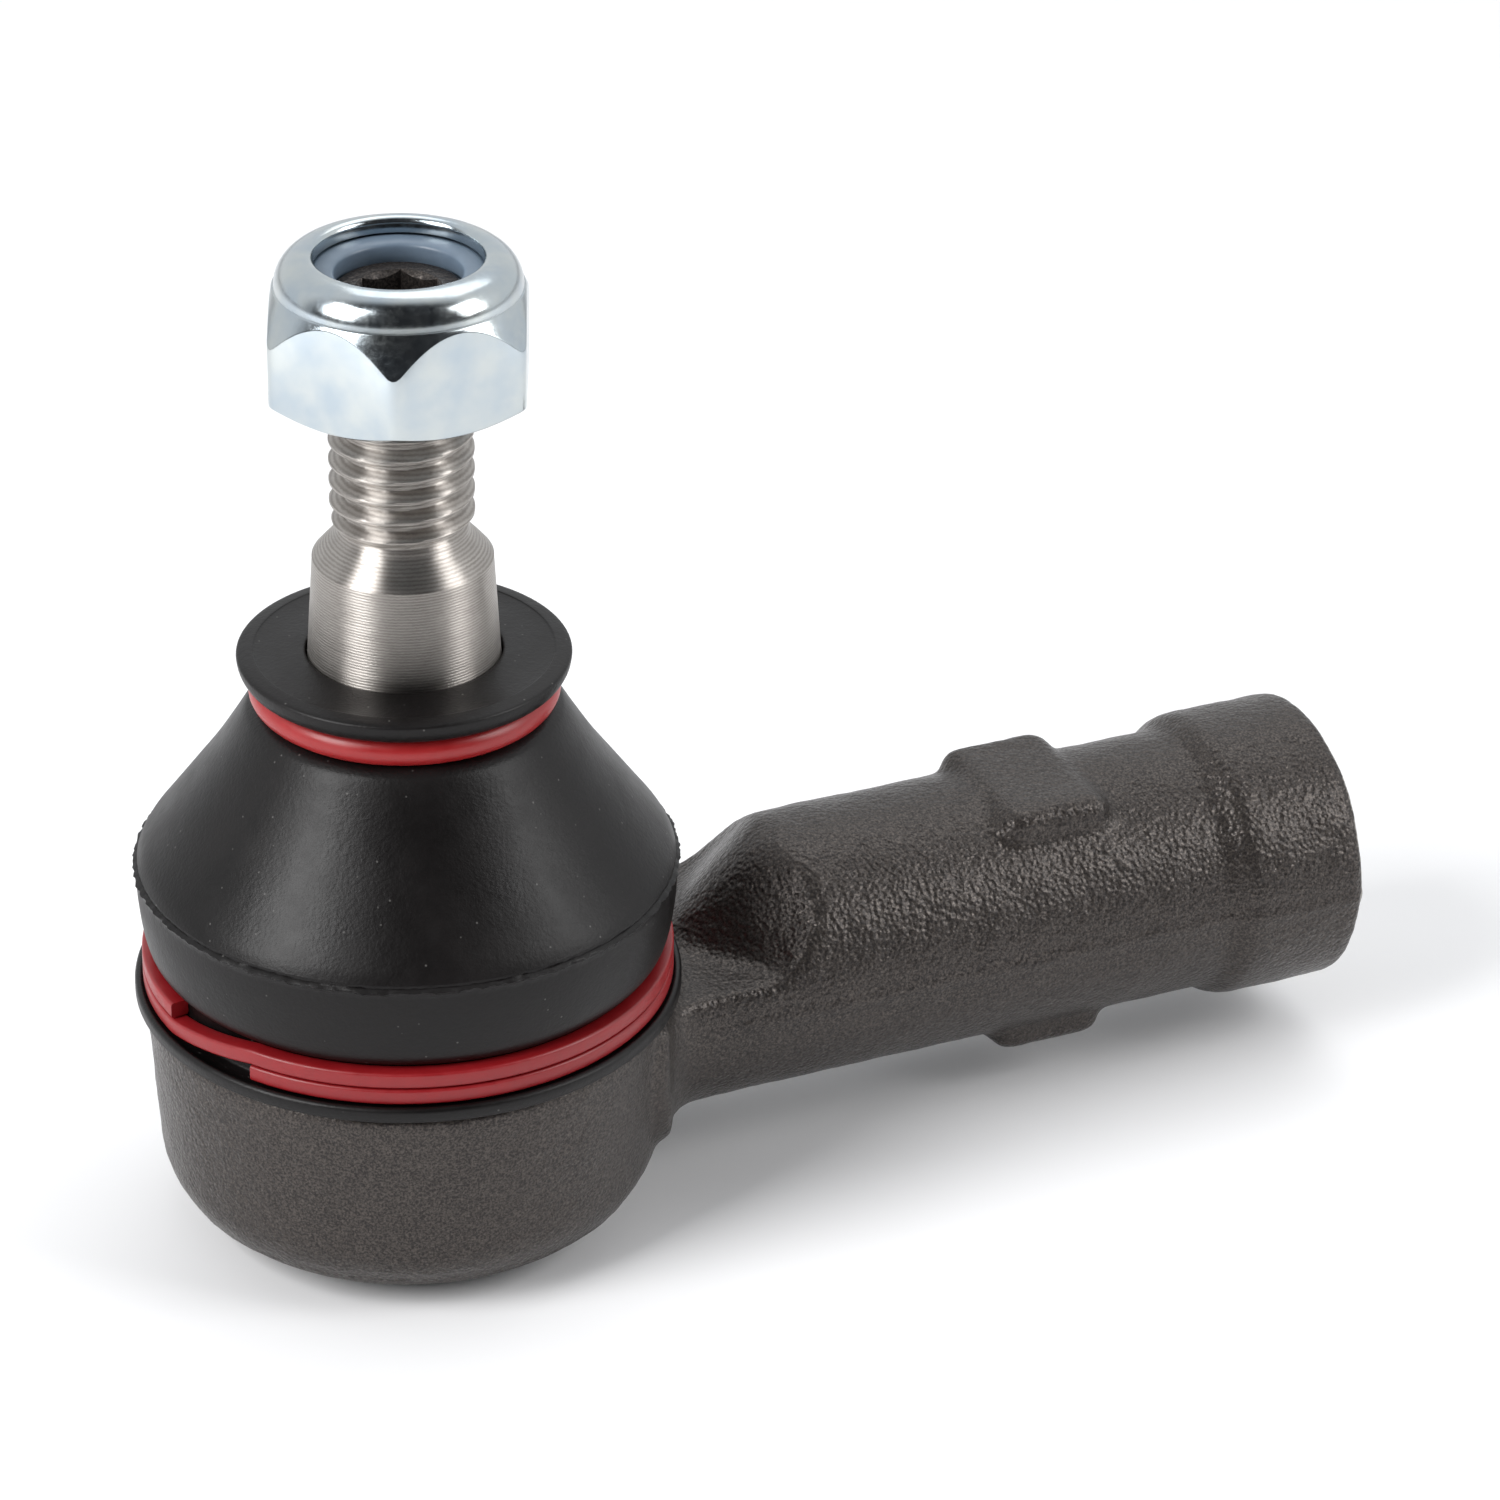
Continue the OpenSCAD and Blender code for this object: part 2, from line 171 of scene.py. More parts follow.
scoop_floor, scoop_end, scoop_foot_r, scoop_brow_r, scoop_sweep = 16.5, 29.6, 3.0, 6.0, 5.2
web_fillet = 3.0                       # fillet between the shank and the cup
fillet_low, fillet_full = 3, 9         # heights between which the fillet grows to its full size
pad_x, pad_len, pad_w, pad_rise = 48.5, 10.1, 12.5, 10.15
voxel = 0.35


def arc(centre_r, centre_z, radius, start, end, steps=8):
    """Points of an arc in the plane of a turned outline, from one angle to another in degrees."""
    turns = [math.radians(start + (end - start) * i / steps) for i in range(steps + 1)]
    return [(centre_r + radius * math.cos(t), centre_z + radius * math.sin(t)) for t in turns]


def ease(value, start, end):
    """Rises smoothly from 0 at start to 1 at end."""
    t = min(1.0, max(0.0, (value - start) / (end - start)))
    return t * t * (3 - 2 * t)


def turned(outline, steps=128, closed=False):
    """Spins an outline of radii and heights round the Z axis, as a lathe does."""
    shape = bmesh.new()
    points = [shape.verts.new((r, 0, z)) for r, z in outline]
    pairs = list(zip(points, points[1:])) + ([(points[-1], points[0])] if closed else [])
    edges = [shape.edges.new(pair) for pair in pairs]
    bmesh.ops.spin(shape, geom=points + edges, cent=(0, 0, 0), axis=(0, 0, 1), angle=math.tau,
                   steps=steps, use_merge=True, use_duplicate=False)
    bmesh.ops.remove_doubles(shape, verts=shape.verts, dist=1e-4)
    bmesh.ops.recalc_face_normals(shape, faces=shape.faces)
    return shape


def to_piece(name, shape, *materials, crease=40):
    """Makes an object of a shape drawn in millimetres; edges sharper than the crease stay sharp."""
    bmesh.ops.scale(shape, vec=(MM, MM, MM), verts=shape.verts)
    mesh = bpy.data.meshes.new(name)
    shape.to_mesh(mesh)
    shape.free()
    for material in materials:
        mesh.materials.append(material)
    mesh.shade_smooth()
    mesh.set_sharp_from_angle(angle=math.radians(crease))
    piece = bpy.data.objects.new(name, mesh)
    bpy.context.scene.collection.objects.link(piece)
    return piece


def applied(piece, kind, **settings):
    """Adds a modifier to a piece and keeps the mesh that it makes."""
    step = piece.modifiers.new(kind.lower(), kind)
    for name, value in settings.items():
        setattr(step, name, value)
    made = bpy.data.meshes.new_from_object(piece.evaluated_get(bpy.context.evaluated_depsgraph_get()))
    piece.modifiers.clear()
    piece.data = made


def cut(piece, tool):
    """Takes a tool's shape out of a piece and throws the tool away."""
    applied(piece, "BOOLEAN", object=tool, operation="DIFFERENCE", solver="MANIFOLD")
    bpy.data.objects.remove(tool)


def scoop_height(x):
    """Height of the hollow that runs from the cup's rim up on to the shank."""
    slope = math.radians(45)
    top = axis_z + shank_r
    rise = top - scoop_floor - (scoop_foot_r + scoop_brow_r) * (1 - math.cos(slope))
    foot = scoop_end - rise / math.tan(slope) - (scoop_foot_r + scoop_brow_r) * math.sin(slope)
    if x <= foot:
        return scoop_floor
    if x <= foot + scoop_foot_r * math.sin(slope):
        return scoop_floor + scoop_foot_r - math.sqrt(scoop_foot_r ** 2 - (x - foot) ** 2)
    if x >= scoop_end:
        return top + 1
    if x >= scoop_end - scoop_brow_r * math.sin(slope):
        return top - scoop_brow_r + math.sqrt(scoop_brow_r ** 2 - (scoop_end - x) ** 2)
    start = foot + scoop_foot_r * math.sin(slope)
    return scoop_floor + scoop_foot_r * (1 - math.cos(slope)) + (x - start) * math.tan(slope)


# The cup, as forged: solid, with the rounded lower edge and the spigot the boot will grip. It
# keeps some metal round its foot, where the rim is rolled later.
forging = turned([(0, 0), (14.6, 0), (16.4, 1.2)]
                 + arc(belly_r - belly_round, belly_z, belly_round, -43.6, 0)
                 + [(shoulder_r - 0.1, cup_h - 0.7), (shoulder_r - 0.4, cup_h), (spigot_r, cup_h),
                    (spigot_r, spigot_top - 0.3), (spigot_r - 0.3, spigot_top), (0, spigot_top)])

# The shank: a bar with its collar, flared where it meets the cup and scooped on top.
bar_outline = [(0, 8), (shank_r, 8)] + [(shank_r, 8 + 0.6 * i) for i in range(1, 87)]
bar_outline += [(shank_r, collar_foot), (shank_r - 0.04, collar_foot + 0.4),
                (collar_r - 0.08, collar_start - 0.3), (collar_r, collar_start + 0.2),
                (collar_r, shank_end - 0.5), (collar_r - 0.5, shank_end), (0, shank_end)]
bar = turned(bar_outline, steps=144)
bar.transform(Matrix.Translation((0, 0, axis_z)) @ Matrix.Rotation(math.pi / 2, 4, "Y"))
for v in bar.verts:
    reach = max(0.0, math.hypot(v.co.x, v.co.y) - belly_r)
    if reach < web_fillet:
        flare = web_fillet - math.sqrt(web_fillet ** 2 - (web_fillet - reach) ** 2)
        flare *= 0.4 + 0.6 * ease(v.co.z, fillet_low, fillet_full)
        out = Vector((0, v.co.y, v.co.z - axis_z))
        if out.length > 1:
            v.co += out.normalized() * flare
    sweep = scoop_sweep * (1 - math.cos(math.pi * min(abs(v.co.y), shank_r) / shank_r)) / 2
    v.co.z = min(v.co.z, scoop_height(v.co.x - sweep))

# The two spanner pads, above and below, with the soft edges a die leaves.
for face_up in (1, -1):
    pad = bmesh.new()
    bmesh.ops.create_cube(pad, size=1)
    bmesh.ops.scale(pad, vec=(pad_len, pad_w, pad_rise), verts=pad.verts)
    for v in pad.verts:
        if v.co.z > 0:
            v.co.x *= 0.86
            v.co.y *= 0.98
    bmesh.ops.translate(pad, vec=(0, 0, pad_rise / 2), verts=pad.verts)
    bmesh.ops.bevel(pad, geom=pad.edges, offset=1.3, affect="EDGES", segments=4, profile=0.5,
                    material=-1)
    pad.transform(Matrix.Translation((pad_x, 0, axis_z)) @ Matrix.Diagonal((1, 1, face_up, 1)))
    bmesh.ops.recalc_face_normals(pad, faces=pad.faces)
    spare = bpy.data.meshes.new("spare")
    pad.to_mesh(spare)
    forging.from_mesh(spare)
    pad.free()
spare = bpy.data.meshes.new("spare")
bar.to_mesh(spare)
forging.from_mesh(spare)
bar.free()

# Shot-blasted drop forging: dark oxide and oil over steel that thousands of small dents have
# broken up, so it looks brown-black with soft glints and no clear reflection. The cup, which is
# nearer the die's wall, comes out finer than the shank, and the rolled rim is smooth.
forged = bpy.data.materials.new("shot-blasted forged steel")
forged.use_nodes = True
tree = forged.node_tree
skin = tree.nodes["Principled BSDF"]
place = add_node(tree, "ShaderNodeTexCoord").outputs["Object"]
dent_mm, swell_mm, patch_mm, grain_mm = 0.34, 1.3, 5.0, 0.17
dents = add_node(tree, "ShaderNodeTexVoronoi", {
    "Vector": place, "Scale": 1 / (dent_mm * MM), "Smoothness": 1.0}, feature="SMOOTH_F1")
swells = add_node(tree, "ShaderNodeTexNoise", {
    "Vector": place, "Scale": 1 / (swell_mm * MM), "Detail": 2.0, "Roughness": 0.6})
patches = add_node(tree, "ShaderNodeTexNoise", {
    "Vector": place, "Scale": 1 / (patch_mm * MM), "Detail": 4.0, "Roughness": 0.6})
grain = add_node(tree, "ShaderNodeTexNoise", {
    "Vector": place, "Scale": 1 / (grain_mm * MM), "Detail": 2.0, "Roughness": 0.7})
tone = add_node(tree, "ShaderNodeMix", {
    "Factor": patches.outputs["Fac"], 6: linear("#221f1f"), 7: linear("#322e2c")}, data_type="RGBA")
speck = add_node(tree, "ShaderNodeMapRange", {
    "Value": grain.outputs["Fac"], "From Min": 0.4, "From Max": 0.75})
worn = add_node(tree, "ShaderNodeMix", {
    "Factor": speck.outputs[0], 6: tone.outputs[2], 7: linear("#5c5550")}, data_type="RGBA")
tree.links.new(worn.outputs[2], skin.inputs["Base Color"])
sheen = add_node(tree, "ShaderNodeMapRange", {
    "Value": grain.outputs["Fac"], "From Min": 0.3, "From Max": 0.75, "To Min": 0.44, "To Max": 0.28})
tree.links.new(sheen.outputs[0], skin.inputs["Roughness"])
skin.inputs["Metallic"].default_value = 0.55
along = add_node(tree, "ShaderNodeSeparateXYZ", {"Vector": place})
coarseness = add_node(tree, "ShaderNodeMapRange", {
    "Value": along.outputs["X"], "From Min": 15 * MM, "From Max": 22 * MM, "To Min": 0.6, "To Max": 1.0})
rolled = add_node(tree, "ShaderNodeMapRange", {
    "Value": along.outputs["Z"], "From Min": (band_top - 0.05) * MM, "From Max": (band_top + 0.05) * MM,
    "To Min": 0.15, "To Max": 1.0})
relief = add_node(tree, "ShaderNodeMath", {0: coarseness.outputs[0], 1: rolled.outputs[0]},
                  operation="MULTIPLY")
rolling = add_node(tree, "ShaderNodeBump", {
    "Height": swells.outputs["Fac"], "Strength": relief.outputs[0], "Distance": 0.10 * MM})
pitted = add_node(tree, "ShaderNodeBump", {
    "Height": dents.outputs["Distance"], "Strength": relief.outputs[0], "Distance": 0.10 * MM,
    "Normal": rolling.outputs[0]})
fine = add_node(tree, "ShaderNodeBump", {
    "Height": grain.outputs["Fac"], "Strength": 0.5, "Distance": 0.035 * MM, "Normal": pitted.outputs[0]})
tree.links.new(fine.outputs[0], skin.inputs["Normal"])

# Bare machined steel in the bores and on the faced end: bright, with fine turning marks.
machined = bpy.data.materials.new("machined steel")
machined.use_nodes = True
tree = machined.node_tree
skin = tree.nodes["Principled BSDF"]
place = add_node(tree, "ShaderNodeTexCoord").outputs["Object"]
tool_marks = add_node(tree, "ShaderNodeTexNoise", {
    "Vector": place, "Scale": 1 / (0.2 * MM), "Detail": 2.0})
skin.inputs["Base Color"].default_value = linear("#8d8881")
skin.inputs["Metallic"].default_value = 1.0
skin.inputs["Roughness"].default_value = 0.34
marks = add_node(tree, "ShaderNodeBump", {
    "Height": tool_marks.outputs["Fac"], "Strength": 0.25, "Distance": 0.03 * MM})
tree.links.new(marks.outputs[0], skin.inputs["Normal"])

housing = to_piece("housing_forging", forging, forged, machined)
applied(housing, "REMESH", mode="VOXEL", voxel_size=voxel * MM, use_smooth_shade=True)

forging = bmesh.new()
forging.from_mesh(housing.data)
bmesh.ops.scale(forging, vec=(1 / MM, 1 / MM, 1 / MM), verts=forging.verts)
for _ in range(5):
    bmesh.ops.smooth_vert(forging, verts=forging.verts, factor=0.5, use_axis_x=True,
                          use_axis_y=True, use_axis_z=True)

# The edges of the scoop are worn softer than the rest.
rim = [v for v in forging.verts if 16 < v.co.x < 31 and 14 < v.co.z < 19.5]
for _ in range(6):
    bmesh.ops.smooth_vert(forging, verts=rim, factor=0.5, use_axis_x=True, use_axis_y=True,
                          use_axis_z=True)
forging.normal_update()
flash_h = 0.16                         # what is left of the flash where the two dies met
for v in forging.verts:
    wave = 0.07 * noise.noise(v.co * 0.3) + 0.035 * noise.noise(v.co * 1.1 + Vector((9, 4, 7)))
    seam = flash_h * math.exp(-((v.co.z - axis_z) / 0.45) ** 2) * ease(v.co.x, 18, 24)
    v.co += v.normal * (wave + seam - 0.05)
    v.co.z = max(v.co.z, 0.0)
    v.co.x = min(v.co.x, shank_end)
bpy.data.objects.remove(housing)
housing = to_piece("housing_forged", forging, forged, machined)

# The roller that closes the rim over the plate leaves a smooth cone, and a band above its edge.
roller = turned([(rim_foot_r, -1), (rim_foot_r, 0), (rim_r - 0.25, rim_h - 0.17),
                 (rim_r - 0.08, rim_h - 0.04), (rim_r + 0.04, rim_h + 0.14), (rim_r + 0.5, band_top),
                 (shoulder_r + 0.6, band_top), (shoulder_r + 0.6, -1)], steps=160, closed=True)
cut(housing, to_piece("roller", roller, forged))

# The end is faced and its outer edge chamfered.
facer = turned([(collar_r - 0.6, shank_end), (collar_r + 0.4, shank_end - 1),
                (collar_r + 1.4, shank_end - 1), (collar_r + 1.4, shank_end + 1),
                (collar_r - 0.6, shank_end + 1)], steps=160, closed=True)
facer.transform(Matrix.Translation((0, 0, axis_z)) @ Matrix.Rotation(math.pi / 2, 4, "Y"))
cut(housing, to_piece("facer", facer, machined))


def thread_depth(turn, height, pitch):
    """Share of a right-hand 60 degree thread's depth at a turn in radians and a height."""
    crest, root = 0.16, 0.8            # half widths of the flat crest and of the crest with its flanks
    off_crest = abs((height / pitch - turn / math.tau) % 1 - 0.5) * 2
    return min(1.0, max(0.0, (root - off_crest) / (root - crest)))


# The bore from below, the ball's seat and the mouth, as one boring tool.
plate_r, plate_t, roll_in = 13.05, 2.2, 1.2
seat_r, mouth_r = 11.74, 9.75
seat_rim = math.degrees(math.acos(mouth_r / seat_r))
borer = turned([(0, -1), (plate_r - roll_in, -1), (plate_r - roll_in, 0), (plate_r, roll_in),
                (plate_r, plate_t), (seat_r, plate_t)]
               + arc(0, axis_z, seat_r, 0, seat_rim, 16)
               + [(mouth_r, spigot_top + 1), (0, spigot_top + 1)], steps=128)
cut(housing, to_piece("borer", borer, machined))

# The drilled and tapped hole, with a countersunk mouth and the cone the drill leaves.
bore_depth, tap_pitch, tap_crest, mouth_chamfer = 38.0, 1.5, 0.72, 1.1
bore_floor = shank_end - bore_depth
tap_outline = [(0, bore_floor - tap_r / math.tan(math.radians(59))), (tap_r, bore_floor)]
tap_rows = int((bore_depth + 1) / 0.125)
tap_outline += [(tap_r, bore_floor + 0.125 * i) for i in range(1, tap_rows + 1)]
tap_outline += [(0, bore_floor + 0.125 * tap_rows)]
tap = turned(tap_outline, steps=80)
for v in tap.verts:
    out = math.hypot(v.co.x, v.co.y)
    if out > tap_r - 0.01 and v.co.z < shank_end + 0.9:
        turn = math.atan2(v.co.y, v.co.x)
        depth = thread_depth(turn, v.co.z, tap_pitch) * ease(v.co.z, bore_floor + 2, bore_floor + 4)
        grown = max(tap_r + tap_crest * depth, tap_r + mouth_chamfer - (shank_end - v.co.z))
        v.co.x *= grown / out
        v.co.y *= grown / out
tap.transform(Matrix.Translation((0, 0, axis_z)) @ Matrix.Rotation(math.pi / 2, 4, "Y"))
cut(housing, to_piece("tap", tap, machined))
for face in housing.data.polygons:
    x, y, z = face.center / MM
    in_cup = math.hypot(x, y) < min(plate_r, plate_r - roll_in + z) + 0.06
    in_shank = x > bore_floor - 5 and math.hypot(y, z - axis_z) < tap_r + mouth_chamfer + 0.02
    faced = x > shank_end - 0.6 and face.normal.x > 0.68
    face.material_index = 1 if in_cup or in_shank or faced else 0
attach(housing, "housing")
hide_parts("housing")

# ---- Closing plate -------------------------------------------------------------------------
# A disc pressed from steel sheet that shuts the cup from below. The housing's rim is rolled over
# its chamfer, and a shallow ring is pressed into it to stiffen it.
plate = turned([(0, 0.35), (4.0, 0.35)] + arc(4.6, 0.35, 0.35, 180, 90, 4)[1:]
               + [(5.2, 0.0)] + arc(11.3, 0.3, 0.3, -90, -45, 3)
               + [(12.85, 1.15), (12.98, 1.4), (12.98, 2.1), (12.9, 2.19), (0, 2.19)], steps=128)
plate_steel = bpy.data.materials.new("pressed steel sheet")
plate_steel.use_nodes = True
tree = plate_steel.node_tree
skin = tree.nodes["Principled BSDF"]
place = add_node(tree, "ShaderNodeTexCoord").outputs["Object"]
rolled_grain = add_node(tree, "ShaderNodeMapping", {"Vector": place, "Scale": (1, 12, 1)})
streaks = add_node(tree, "ShaderNodeTexNoise", {
    "Vector": rolled_grain.outputs[0], "Scale": 1 / (2.5 * MM), "Detail": 4.0, "Roughness": 0.65})
tone = add_node(tree, "ShaderNodeMix", {
    "Factor": streaks.outputs["Fac"], 6: linear("#6e6a65"), 7: linear("#96918a")}, data_type="RGBA")
tree.links.new(tone.outputs[2], skin.inputs["Base Color"])
skin.inputs["Metallic"].default_value = 1.0
dull = add_node(tree, "ShaderNodeMapRange", {
    "Value": streaks.outputs["Fac"], "From Min": 0.3, "From Max": 0.7, "To Min": 0.38, "To Max": 0.52})
tree.links.new(dull.outputs[0], skin.inputs["Roughness"])
brushed = add_node(tree, "ShaderNodeBump", {
    "Height": streaks.outputs["Fac"], "Strength": 0.3, "Distance": 0.04 * MM})
tree.links.new(brushed.outputs[0], skin.inputs["Normal"])
closing_plate = to_piece("closing_plate_pressing", plate, plate_steel)
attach(closing_plate, "housing")
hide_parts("closing_plate")

# ---- Preload spring ------------------------------------------------------------------------
# A conical washer of hardened spring steel between the plate and the lower shell. It keeps the
# shells tight on the ball as they wear. Blued by its heat treatment.
spring_steel = bpy.data.materials.new("blued spring steel")
spring_steel.use_nodes = True
tree = spring_steel.node_tree
skin = tree.nodes["Principled BSDF"]
place = add_node(tree, "ShaderNodeTexCoord").outputs["Object"]
scale_marks = add_node(tree, "ShaderNodeTexNoise", {
    "Vector": place, "Scale": 1 / (1.5 * MM), "Detail": 4.0})
tone = add_node(tree, "ShaderNodeMix", {
    "Factor": scale_marks.outputs["Fac"], 6: linear("#4d5563"), 7: linear("#757b84")}, data_type="RGBA")
tree.links.new(tone.outputs[2], skin.inputs["Base Color"])
skin.inputs["Metallic"].default_value = 1.0
skin.inputs["Roughness"].default_value = 0.36
frame["nodes"]["preload_spring"].data.materials.clear()
frame["nodes"]["preload_spring"].data.materials.append(spring_steel)

# ---- Bearing shells ------------------------------------------------------------------------
# Two seats moulded in acetal, one over the ball and one under it, greased for life. Creamy white,
# waxy, with the faint orange peel of a mould.
acetal = bpy.data.materials.new("moulded acetal")
acetal.use_nodes = True
tree = acetal.node_tree
skin = tree.nodes["Principled BSDF"]
place = add_node(tree, "ShaderNodeTexCoord").outputs["Object"]
peel = add_node(tree, "ShaderNodeTexNoise", {"Vector": place, "Scale": 1 / (0.8 * MM), "Detail": 2.0})
tone = add_node(tree, "ShaderNodeMix", {
    "Factor": peel.outputs["Fac"], 6: linear("#e6e0cf"), 7: linear("#efeadc")}, data_type="RGBA")
tree.links.new(tone.outputs[2], skin.inputs["Base Color"])
skin.inputs["Roughness"].default_value = 0.42
skin.inputs["IOR"].default_value = 1.48
waxy = add_node(tree, "ShaderNodeBump", {
    "Height": peel.outputs["Fac"], "Strength": 0.2, "Distance": 0.03 * MM})
tree.links.new(waxy.outputs[0], skin.inputs["Normal"])
for name in ("lower_bearing_shell", "upper_bearing_shell"):
    frame["nodes"][name].data.materials.clear()
    frame["nodes"][name].data.materials.append(acetal)

# ---- Ball stud -----------------------------------------------------------------------------
# Cold-headed and turned from one bar: ball, neck, the seat for the boot's lip, a 1:8 taper, and a
# rolled M10 x 1.5 thread. A hexagon socket in the end holds it still while the nut is done up.
ball_r, neck_r, lip_seat_r = 10.5, 5.5, 6.95
ball_z = joints["stud_tilt"]["pos_m"][2] / MM
taper_top_r, taper_top_z, seat_top_z = 6.19, 51.2, 39.04
stud_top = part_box("ball_stud")[1][2] / MM
crest_r, root_r, pitch = 4.93, 4.12, 1.5
runout_z, full_thread_z = 53.0, 54.5
neck_fillet = 1.0


def curve_through(points, per=6):
    """A smooth curve through a few points of an outline, as a draughtsman's spline gives."""
    ends = [points[0]] + list(points) + [points[-1]]
    drawn = []
    for a, b, c, d in zip(ends, ends[1:], ends[2:], ends[3:]):
        for i in range(per):
            t = i / per
            drawn.append(tuple(
                q + 0.5 * t * (r - p + t * (2 * p - 5 * q + 4 * r - s + t * (3 * (q - r) + s - p)))
                for p, q, r, s in zip(a, b, c, d)))
    return drawn + [points[-1]]


fillet_rise = math.sqrt((ball_r + neck_fillet) ** 2 - (neck_r + neck_fillet) ** 2)
fillet_turn = math.degrees(math.atan2(fillet_rise, neck_r + neck_fillet))
stud_outline = arc(0, ball_z, ball_r, -90, fillet_turn, 40)
stud_outline += arc(neck_r + neck_fillet, ball_z + fillet_rise, neck_fillet, 180 + fillet_turn, 180, 5)[1:]
stud_outline += curve_through([(neck_r, 33.6), (5.75, 34.4), (6.6, 35.8), (lip_seat_r - 0.02, 36.5)], 4)
stud_outline += [(lip_seat_r, 37.0), (lip_seat_r, seat_top_z - 0.3), (lip_seat_r - 0.02, seat_top_z)]
taper_rows = 8
stud_outline += [(lip_seat_r - 0.02 + (taper_top_r - lip_seat_r + 0.02) * i / taper_rows,
                  seat_top_z + (taper_top_z - 0.2 - seat_top_z) * i / taper_rows)
                 for i in range(1, taper_rows + 1)]
stud_outline += [(taper_top_r, taper_top_z - 0.04), (taper_top_r - 0.03, taper_top_z + 0.02)]
stud_outline += curve_through([(taper_top_r - 0.12, taper_top_z + 0.12), (5.7, 51.75), (5.2, 52.3),
                               (4.82, 52.7), (4.56, 53.1), (4.42, 53.6)], 4)
thread_row = 0.1
thread_rows = int((stud_top - 0.02 - 53.7) / thread_row)
stud_outline += [(4.42, 53.7 + thread_row * i) for i in range(thread_rows + 1)]
stud_outline += [(crest_r - 0.8, stud_top), (0, stud_top)]
stud = turned(stud_outline, steps=144)
for v in stud.verts:
    out = math.hypot(v.co.x, v.co.y)
    if v.co.z > runout_z and out > crest_r - 0.9:
        depth = thread_depth(math.atan2(v.co.y, v.co.x), v.co.z, pitch)
        wanted = root_r + (crest_r - root_r) * depth
        wanted = out + (wanted - out) * ease(v.co.z, runout_z, full_thread_z)
        wanted = min(wanted, crest_r - 0.8 + stud_top - v.co.z)
        v.co.x *= wanted / out
        v.co.y *= wanted / out

# Turned steel: a lathe's fine rings smear each reflection up and down the surface, so the lamps
# and the dark room between them stand on it as upright streaks.
turned_steel = bpy.data.materials.new("turned alloy steel")
turned_steel.use_nodes = True
tree = turned_steel.node_tree
skin = tree.nodes["Principled BSDF"]
place = add_node(tree, "ShaderNodeTexCoord").outputs["Object"]
ring_mm, blotch_mm = 0.21, 1.6
rings = add_node(tree, "ShaderNodeTexWave", {
    "Vector": place, "Scale": 0.314159 / (ring_mm * MM), "Distortion": 1.5, "Detail": 1.0,
    "Detail Scale": 3.0}, wave_type="BANDS", bands_direction="Z")
ring_stretch = add_node(tree, "ShaderNodeMapping", {"Vector": place, "Scale": (0.05, 0.05, 1)})
uneven = add_node(tree, "ShaderNodeTexNoise", {
    "Vector": ring_stretch.outputs[0], "Scale": 1 / (0.3 * MM), "Detail": 4.0, "Roughness": 0.7})
blotches = add_node(tree, "ShaderNodeTexNoise", {
    "Vector": place, "Scale": 1 / (blotch_mm * MM), "Detail": 5.0, "Roughness": 0.65})
tone = add_node(tree, "ShaderNodeMix", {
    "Factor": blotches.outputs["Fac"], 6: linear("#7f7974"), 7: linear("#aaa5a0")}, data_type="RGBA")
grooved = add_node(tree, "ShaderNodeMath", {0: rings.outputs["Fac"], 1: uneven.outputs["Fac"]},
                   operation="MULTIPLY")
banded = add_node(tree, "ShaderNodeMix", {
    "Factor": grooved.outputs[0], 6: tone.outputs[2], 7: linear("#c9c4be")}, data_type="RGBA")
tree.links.new(banded.outputs[2], skin.inputs["Base Color"])
skin.inputs["Metallic"].default_value = 1.0
dull = add_node(tree, "ShaderNodeMapRange", {
    "Value": uneven.outputs["Fac"], "From Min": 0.3, "From Max": 0.7, "To Min": 0.34, "To Max": 0.46})
tree.links.new(dull.outputs[0], skin.inputs["Roughness"])
skin.inputs["Anisotropic"].default_value = 0.9
stud_axis = add_node(tree, "ShaderNodeVectorTransform", {"Vector": (0, 0, 1)},
                     vector_type="VECTOR", convert_from="OBJECT", convert_to="WORLD")
tree.links.new(stud_axis.outputs[0], skin.inputs["Tangent"])
coarse = add_node(tree, "ShaderNodeBump", {
    "Height": uneven.outputs["Fac"], "Strength": 0.4, "Distance": 0.03 * MM})
height = add_node(tree, "ShaderNodeSeparateXYZ", {"Vector": place})
feed = add_node(tree, "ShaderNodeMapRange", {
    "Value": height.outputs["Z"], "From Min": 51.1 * MM, "From Max": 51.3 * MM,
    "To Min": 0.6, "To Max": 0.15})
turned_marks = add_node(tree, "ShaderNodeBump", {
    "Height": rings.outputs["Fac"], "Strength": feed.outputs[0], "Distance": 0.025 * MM,
    "Normal": coarse.outputs[0]})
tree.links.new(turned_marks.outputs[0], skin.inputs["Normal"])

stud_piece = to_piece("ball_stud_turned", stud, turned_steel, forged, crease=38)
nut_clock = math.radians(6.5)
socket_af, socket_depth = 5.0, 5.0
socket = bmesh.new()
bmesh.ops.create_cone(socket, cap_ends=True, segments=6, radius1=socket_af / 2 / math.cos(math.pi / 6),
                      radius2=socket_af / 2 / math.cos(math.pi / 6), depth=socket_depth + 1)
socket.transform(Matrix.Translation((0, 0, stud_top - socket_depth / 2 + 0.5))
                 @ Matrix.Rotation(nut_clock + math.pi / 6, 4, "Z"))
cut(stud_piece, to_piece("socket_punch", socket, turned_steel))
drill = turned([(0, stud_top - socket_depth - 1.2), (2.45, stud_top - socket_depth + 0.1),
                (2.45, stud_top - 0.42), (2.95, stud_top + 0.03), (2.95, stud_top + 0.5),
                (0, stud_top + 0.5)], 96)
cut(stud_piece, to_piece("socket_drill", drill, turned_steel))
stud_piece.data.shade_smooth()
stud_piece.data.set_sharp_from_angle(angle=math.radians(38))
for face in stud_piece.data.polygons:    # the cropped end and the socket keep their dark scale
    x, y, z = face.center / MM
    face.material_index = 1 if z > stud_top - 0.01 or (z > stud_top - 7 and math.hypot(x, y) < 3.2) else 0
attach(stud_piece, "stud")
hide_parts("ball_stud")

